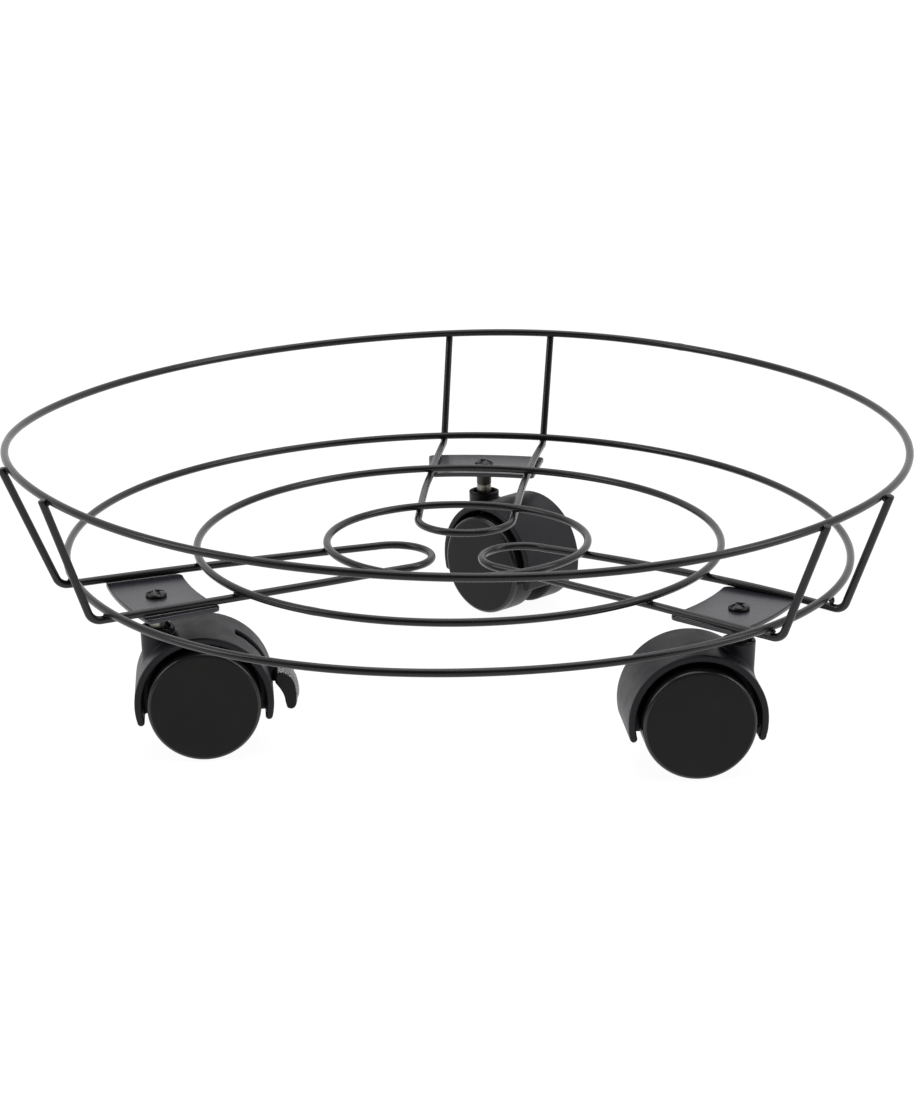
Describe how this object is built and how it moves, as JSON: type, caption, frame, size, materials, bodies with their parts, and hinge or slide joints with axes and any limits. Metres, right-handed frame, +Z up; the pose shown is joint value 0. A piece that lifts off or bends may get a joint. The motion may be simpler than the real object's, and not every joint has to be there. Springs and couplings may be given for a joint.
{
  "type": "plant pot caddy",
  "caption": "Round wire pot trolley: an upper rim over concentric support rings on hairpin arms, rolling on twin-wheel swivel casters, one with a toe brake.",
  "frame": {"origin": "on the floor under the middle of the caddy's bounding box", "axes": "+Z up; +Y towards the rear arm; the other two arms point to 210 and 330 degrees"},
  "size_m": [0.3928, 0.3956, 0.1208],
  "materials": {
    "powder_coat": "semi-gloss black powder coat",
    "plate_coat": "satin grey coat",
    "zinc": "bright zinc plate",
    "black_screw": "black zinc",
    "spring_steel": "plain",
    "hood_plastic": "fine moulded texture, charcoal",
    "wheel_plastic": "satin near-black",
    "lever_plastic": "satin mid grey"
  },
  "bodies": {
    "frame": {"rim_ring": "powder_coat", "base_ring_outer": "powder_coat", "base_ring_middle": "powder_coat", "base_ring_inner": "powder_coat", "arm_wire_rear": "powder_coat", "caster_plate_rear": "plate_coat", "plate_screw_rear": "black_screw", "stem_rear": "zinc", "stem_clip_rear": "spring_steel", "arm_wire_left": "powder_coat", "caster_plate_left": "plate_coat", "plate_screw_left": "black_screw", "stem_left": "zinc", "stem_clip_left": "spring_steel", "arm_wire_right": "powder_coat", "caster_plate_right": "plate_coat", "plate_screw_right": "black_screw", "stem_right": "zinc", "stem_clip_right": "spring_steel"},
    "caster_rear": {"hood_rear": "hood_plastic", "axle_rear": "spring_steel"},
    "wheel_rear_a": {"wheel_rear_a": "wheel_plastic"},
    "wheel_rear_b": {"wheel_rear_b": "wheel_plastic"},
    "caster_left": {"hood_left": "hood_plastic", "axle_left": "spring_steel", "brake_pin": "spring_steel"},
    "wheel_left_a": {"wheel_left_a": "wheel_plastic"},
    "wheel_left_b": {"wheel_left_b": "wheel_plastic"},
    "brake_lever": {"brake_lever": "lever_plastic"},
    "caster_right": {"hood_right": "hood_plastic", "axle_right": "spring_steel"},
    "wheel_right_a": {"wheel_right_a": "wheel_plastic"},
    "wheel_right_b": {"wheel_right_b": "wheel_plastic"}
  },
  "joints": [
    {"name": "swivel_rear", "type": "hinge", "parent": "frame", "child": "caster_rear", "pos_m": [0, 0.13988, 0], "axis": [0, 0, 1], "continuous": true},
    {"name": "spin_rear_a", "type": "hinge", "parent": "caster_rear", "child": "wheel_rear_a", "pos_m": [0.01414, 0.12749, 0.024], "axis": [0.6587, 0.7524, 0], "continuous": true},
    {"name": "spin_rear_b", "type": "hinge", "parent": "caster_rear", "child": "wheel_rear_b", "pos_m": [0.01414, 0.12749, 0.024], "axis": [0.6587, 0.7524, 0], "continuous": true},
    {"name": "swivel_left", "type": "hinge", "parent": "frame", "child": "caster_left", "pos_m": [-0.12237, -0.07207, 0], "axis": [0, 0, 1], "continuous": true},
    {"name": "spin_left_a", "type": "hinge", "parent": "caster_left", "child": "wheel_left_a", "pos_m": [-0.10386, -0.06881, 0.024], "axis": [-0.1736, 0.9848, 0], "continuous": true},
    {"name": "spin_left_b", "type": "hinge", "parent": "caster_left", "child": "wheel_left_b", "pos_m": [-0.10386, -0.06881, 0.024], "axis": [-0.1736, 0.9848, 0], "continuous": true},
    {"name": "brake_tip", "type": "hinge", "parent": "caster_left", "child": "brake_lever", "pos_m": [-0.08514, -0.06551, 0.03], "axis": [0.1736, -0.9848, 0], "range_deg": [0, 30]},
    {"name": "swivel_right", "type": "hinge", "parent": "frame", "child": "caster_right", "pos_m": [0.12237, -0.07207, 0], "axis": [0, 0, 1], "continuous": true},
    {"name": "spin_right_a", "type": "hinge", "parent": "caster_right", "child": "wheel_right_a", "pos_m": [0.10386, -0.07534, 0.024], "axis": [0.1736, -0.9848, 0], "continuous": true},
    {"name": "spin_right_b", "type": "hinge", "parent": "caster_right", "child": "wheel_right_b", "pos_m": [0.10386, -0.07534, 0.024], "axis": [0.1736, -0.9848, 0], "continuous": true}
  ]
}
